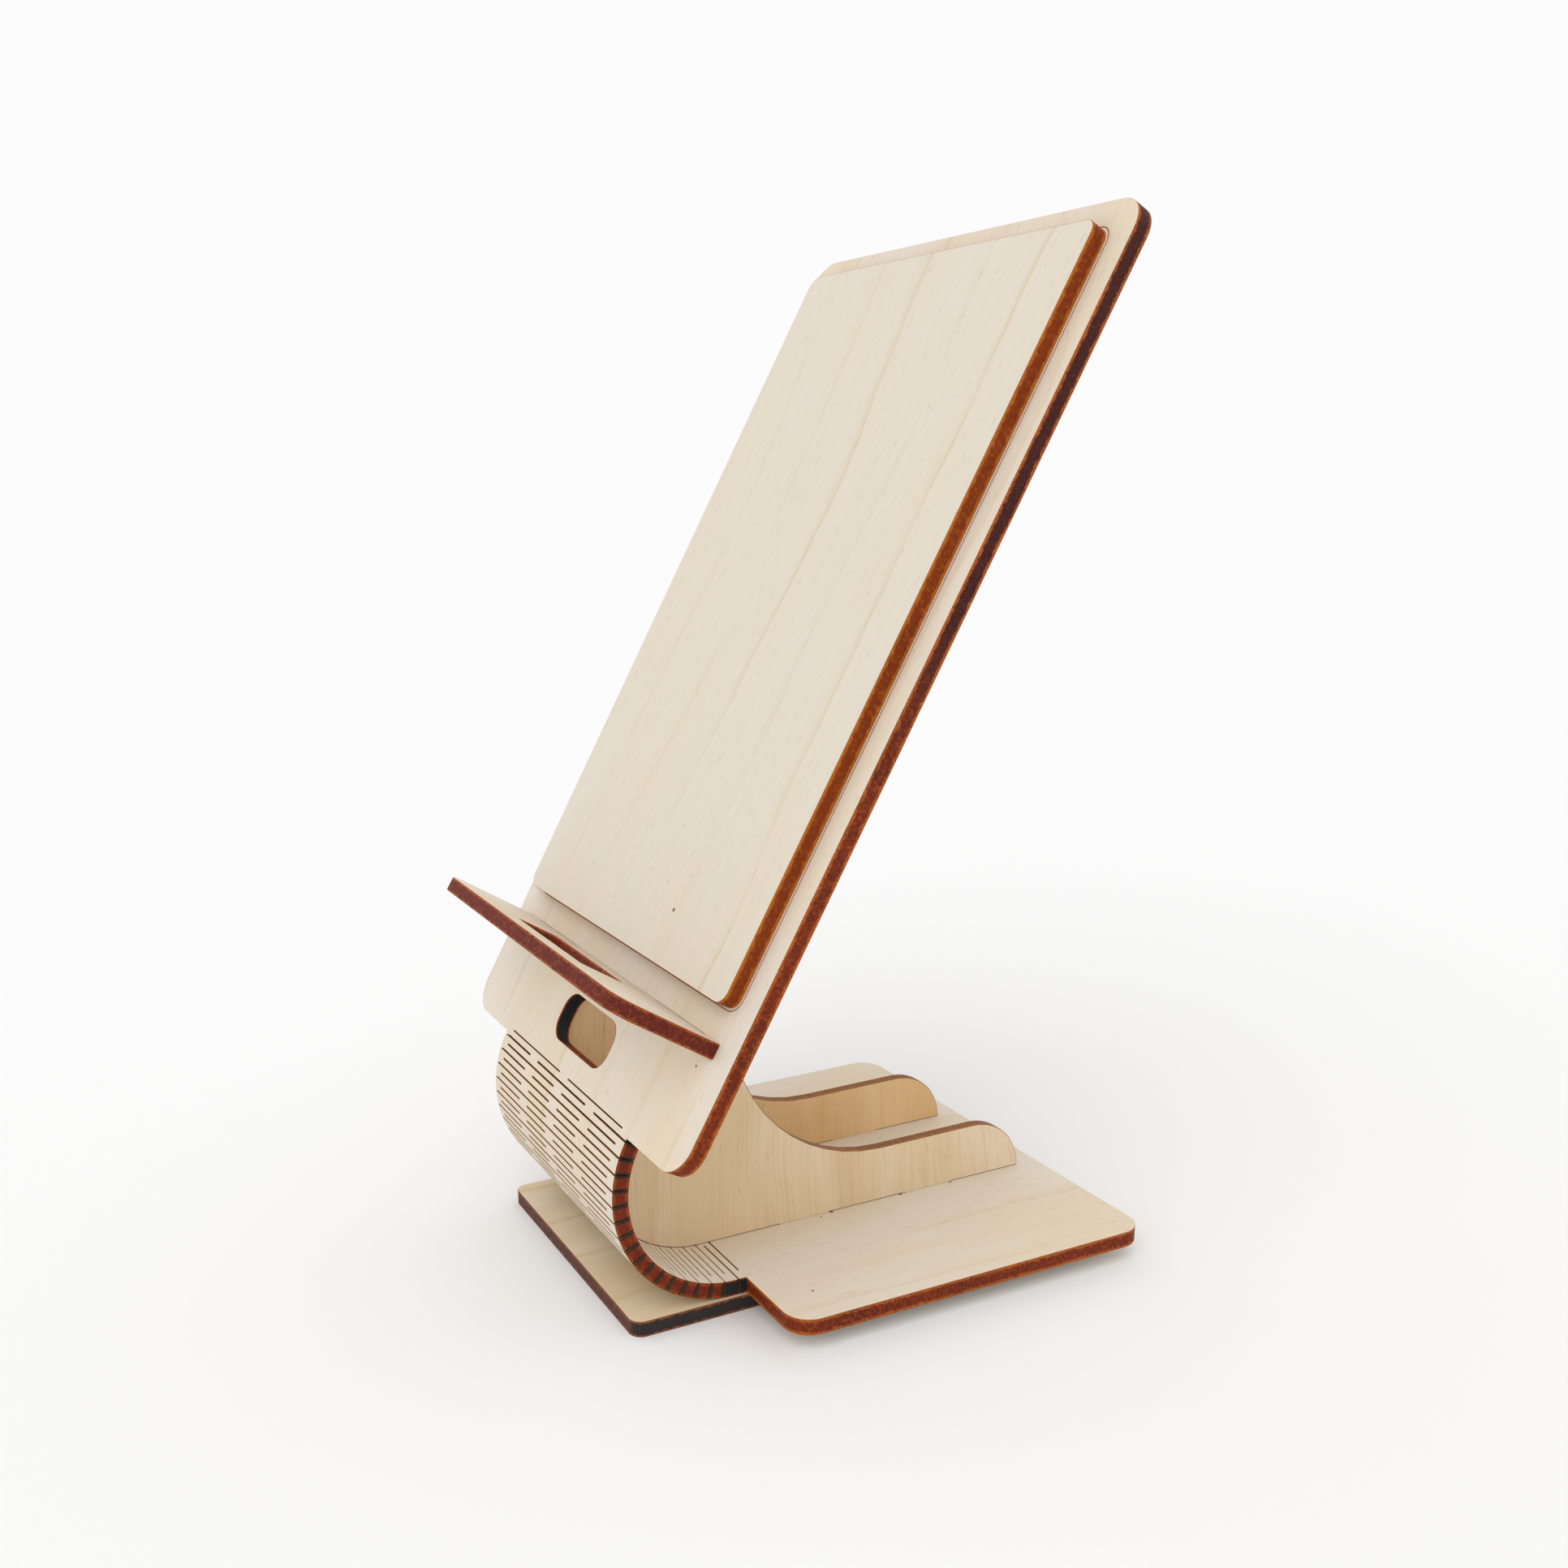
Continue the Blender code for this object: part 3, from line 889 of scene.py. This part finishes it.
def smoke_stains(material):
    tree = material.node_tree
    shader = tree.nodes["Principled BSDF"]
    here = board_place(tree)
    x, along, deep = axes(tree, here)
    side = calculate(tree, "ABSOLUTE", x)
    edge, hole = HINGE_EDGE / MM, half_hole / MM
    surface = calculate(tree, "ABSOLUTE", calculate(tree, "SUBTRACT", deep, PLY / MM / 2))

    spacing = 2 * ROW_PITCH / MM
    from_notch = calculate(tree, "SUBTRACT", along, ROWS[1] / MM)
    nearest = calculate(tree, "ROUND", calculate(tree, "DIVIDE", from_notch, spacing))
    off = calculate(tree, "SUBTRACT", from_notch, times(tree, nearest, spacing))
    ragged = noise(tree, stretched(tree, here, (2.0, 1.4, 1.6)), detail=3.0, roughness=0.6)
    ragged = times(tree, calculate(tree, "SUBTRACT", ragged, 0.5), 0.5)
    off = calculate(tree, "ADD", calculate(tree, "ABSOLUTE", off), ragged)
    narrower = times(tree, between(tree, surface, 1.1, 1.5), 0.2)
    off = calculate(tree, "ADD", off, narrower)
    stain = between(tree, off, STAIN_HALF + 0.08, STAIN_HALF - 0.05)
    on_side = between(tree, side, edge + 0.4, edge + 0.2)
    on_hinge = window(tree, along, ROWS[1] / MM - 1.0, ROWS[-2] / MM + 1.0, 0.5)
    notch = times(tree, stain, on_hinge, on_side)

    corner = window(tree, along, -BASE_START / MM - 0.1, ROWS[3] / MM + 0.3, 0.8)
    corner = times(tree, corner, between(tree, side, edge + 0.4, edge))
    wall = window(tree, along, hole_low / MM - 0.3, hole_high / MM + 0.3, 0.2)
    wall = times(tree, wall, window(tree, x, -hole - 0.3, -hole * 0.6, 1.5))
    inside = calculate(tree, "ADD", wall, corner)
    inside = times(tree, inside, between(tree, surface, 1.35, 1.1))

    before = shader.inputs["Base Color"].links[0].from_socket
    scorched = times(tree, on_hinge, on_side, SCORCH_SHARE)
    before = mix_colours(tree, scorched, before, SCORCH)
    soot = calculate(tree, "MAXIMUM", notch, inside, clamp=True)
    tree.links.new(mix_colours(tree, soot, before, SOOT), shader.inputs["Base Color"])
    return material


# %% [markdown]
# ## Dressing the pieces
#
# All six pieces are birch, but not from one spot on one board. The long sheet, the pad and the
# ledge are the palest. The ribs are the warmest: partly their own wood tone, and partly painted
# light, the warm light that the wood round them reflects onto them. The edges differ more: the
# pad's is orange brown, the ledge's purple brown, the panel's dark in the middle, and the foot's
# nearly black on the right.

# %% Give each piece its face and its edge
KNOT = screen_colour(70, 48, 34)
SPECK = screen_colour(110, 84, 58)
bend_mm = BEND_LENGTH / MM
panel_front, base_top = PLY / MM, 0.0
beside_rib = RIB_OUTER / MM + 0.2
sheet_specks = [
    (38.1, bend_mm + 17.0, panel_front, 0.35, SPECK),
    (38.0, -10.2, base_top, 0.35, SPECK),
    (15.5, -25.5, base_top, 0.3, SPECK),
    (beside_rib, -28.3, base_top, 0.55, SPECK),
    (beside_rib, -43.9, base_top, 0.5, SPECK),
    (beside_rib, -55.4, base_top, 0.45, SPECK),
]
faces = {
    "long_sheet": birch_face(
        "birch_sheet", (222, 212, 198), (221, 206, 182), (300.0, 40.0, 0.0),
        rings=0.35, streaks=0.1, specks=sheet_specks,
    ),
    "pad": birch_face(
        "birch_pad", (216, 208, 194), (217, 207, 189), (12.0, 610.0, 0.0),
        rings=0.42, streaks=0.1, specks=[(15.5, 37.4, pad_thick / MM, 0.5, KNOT)],
    ),
    "ledge": birch_face(
        "birch_ledge", (226, 216, 200), (222, 207, 184), (810.0, 75.0, 0.0),
        streaks=0.1,
    ),
    # The ribs' colours are partly their wood and partly painted light: the warm light that the wood
    # round them reflects onto them.
    "left_brace": birch_face(
        "birch_and_painted_bounce_left_rib", (236, 206, 162), (226, 188, 138), (90.0, 930.0, 0.0),
        rings=0.25, streaks=0.3,
    ),
    "right_brace": birch_face(
        "birch_and_painted_bounce_right_rib", (228, 210, 182), (216, 192, 156), (520.0, 330.0, 0.0),
        rings=0.25, streaks=0.4,
    ),
    "foot": birch_face(
        "birch_foot", (222, 208, 184), (214, 194, 162), (160.0, 480.0, 0.0),
        streaks=0.2,
    ),
}
edges = {
    "long_sheet": smoke_stains(burnt_edge(
        "burnt_sheet", (172, 86, 26), (116, 38, 8), (54, 20, 22),
        PLY, (3.0, 7.0, 1.0), dark_from=(1, bend_mm + 85.0),
    )),
    "pad": burnt_edge(
        "burnt_pad", (178, 98, 28), (128, 50, 8), (84, 28, 8),
        pad_thick, (31.0, 2.0, 5.0), soot_share=0.3,
    ),
    "ledge": burnt_edge(
        "burnt_ledge", (162, 80, 36), (100, 32, 20), (72, 26, 30),
        LEDGE_THICK, (11.0, 53.0, 2.0), core_half=0.32,
    ),
    "left_brace": burnt_edge(
        "burnt_left_rib", (152, 102, 58), (138, 88, 48), (86, 54, 30),
        RIB_THICK, (71.0, 5.0, 9.0),
    ),
    "right_brace": burnt_edge(
        "burnt_right_rib", (152, 102, 58), (142, 90, 50), (86, 54, 30),
        RIB_THICK, (13.0, 85.0, 4.0),
    ),
    "foot": burnt_edge(
        "burnt_foot", (130, 76, 48), (84, 50, 44), (36, 38, 40),
        foot_thick, (47.0, 9.0, 6.0), soot_share=0.3, core_half=0.3,
        dark_from=(0, foot_high.x / MM - 1.5),
    ),
}
# The kerf walls are painted paler than the other burnt edges: painted light, for the little light
# that gets into the narrow cuts. Their core turns darker towards the panel.
kerf_wall_with_painted_light = burnt_edge(
    "burnt_kerf_with_painted_light", (160, 112, 48), (146, 98, 38), (52, 44, 32),
    PLY, (23.0, 61.0, 8.0), dark_from=(1, bend_mm - 12.0),
)
for name, piece in made_pieces.items():
    piece.data.materials.append(faces[name])
    piece.data.materials.append(edges[name])
made_pieces["long_sheet"].data.materials.append(kerf_wall_with_painted_light)
print(len(faces) + len(edges) + 1, "materials")

# %% [markdown]
# ## Floor and light
#
# A product table has a pale floor, soft light from all round, and one large soft light in front
# and above. The surroundings are an even white world. The large light is a sun with a wide angle,
# whose shadows are as soft as a softbox's, and which lights the whole floor alike, so that the
# floor meets the surroundings without a visible horizon.

# %% Set up the studio
FLOOR_RADIUS = 8.0
FLOOR_TONE = 0.86
ROOM_TONE = 0.97
SUN_FROM = Vector((0.35, -0.5, 0.8))
SUN_WIDTH = math.radians(50)
middle = (cad_low + cad_high) / 2

floor_mesh = bpy.data.meshes.new("studio_floor")
disc = bmesh.new()
bmesh.ops.create_circle(disc, cap_ends=True, segments=96, radius=FLOOR_RADIUS)
disc.to_mesh(floor_mesh)
disc.free()
floor = bpy.data.objects.new("studio_floor", floor_mesh)
bpy.context.scene.collection.objects.link(floor)
floor_material, _, floor_shader = new_material("pale_floor")
floor_shader.inputs["Base Color"].default_value = (FLOOR_TONE, FLOOR_TONE, FLOOR_TONE, 1.0)
floor_shader.inputs["Roughness"].default_value = 1.0
floor_shader.inputs["Specular IOR Level"].default_value = 0.0
floor_mesh.materials.append(floor_material)

world = bpy.data.worlds.new("pale_room")
world.use_nodes = True
surroundings = world.node_tree.nodes["Background"]
surroundings.inputs["Color"].default_value = (1.0, 1.0, 1.0, 1.0)
surroundings.inputs["Strength"].default_value = ROOM_TONE
bpy.context.scene.world = world

sun_share = ROOM_TONE / FLOOR_TONE - ROOM_TONE
lamp = bpy.data.lights.new("softbox", "SUN")
lamp.angle = SUN_WIDTH
lamp.energy = math.pi * sun_share / SUN_FROM.normalized().z
light = bpy.data.objects.new("softbox", lamp)
bpy.context.scene.collection.objects.link(light)
light.rotation_euler = SUN_FROM.to_track_quat("Z", "Y").to_euler()
print("sun strength", round(lamp.energy, 3))

# %% [markdown]
# ## Camera
#
# The camera stands close to the stand's right, a little in front and a little above, with a wide
# lens. It looks past the stand and shifts its lens back, as an architect's camera does.

# %% Set up the camera
CAMERA_FROM_MIDDLE = Vector((247.6, -139.6, 57.5)) * MM
CAMERA_TURN = math.radians(67.34)
CAMERA_DIP = math.radians(15.94)
CAMERA_ROLL = math.radians(-2.31)
LENS, SENSOR_WIDTH = 35.91, 36.0
LENS_SHIFT = (0.1207, 0.0695)

lens = bpy.data.cameras.new("camera")
lens.sensor_width = SENSOR_WIDTH
lens.lens = LENS
lens.shift_x, lens.shift_y = LENS_SHIFT
lens.clip_start = 10 * MM
camera = bpy.data.objects.new("camera", lens)
bpy.context.scene.collection.objects.link(camera)
bpy.context.scene.camera = camera
turn = Matrix.Rotation(CAMERA_TURN, 4, "Z")
dip = Matrix.Rotation(math.radians(90) - CAMERA_DIP, 4, "X")
roll = Matrix.Rotation(CAMERA_ROLL, 4, "Z")
camera.matrix_world = Matrix.Translation(middle + CAMERA_FROM_MIDDLE) @ turn @ dip @ roll
bpy.context.scene.view_settings.view_transform = "Standard"
print("camera at", [round(value / MM) for value in camera.location], "mm")

# %% [markdown]
# ## Measure and hand over
#
# The last cell writes down two boxes, one round the measured model and one round the finished
# pieces, so that they can be compared. They should agree to a tenth of a millimetre.

# %% Finish
bpy.context.view_layer.update()
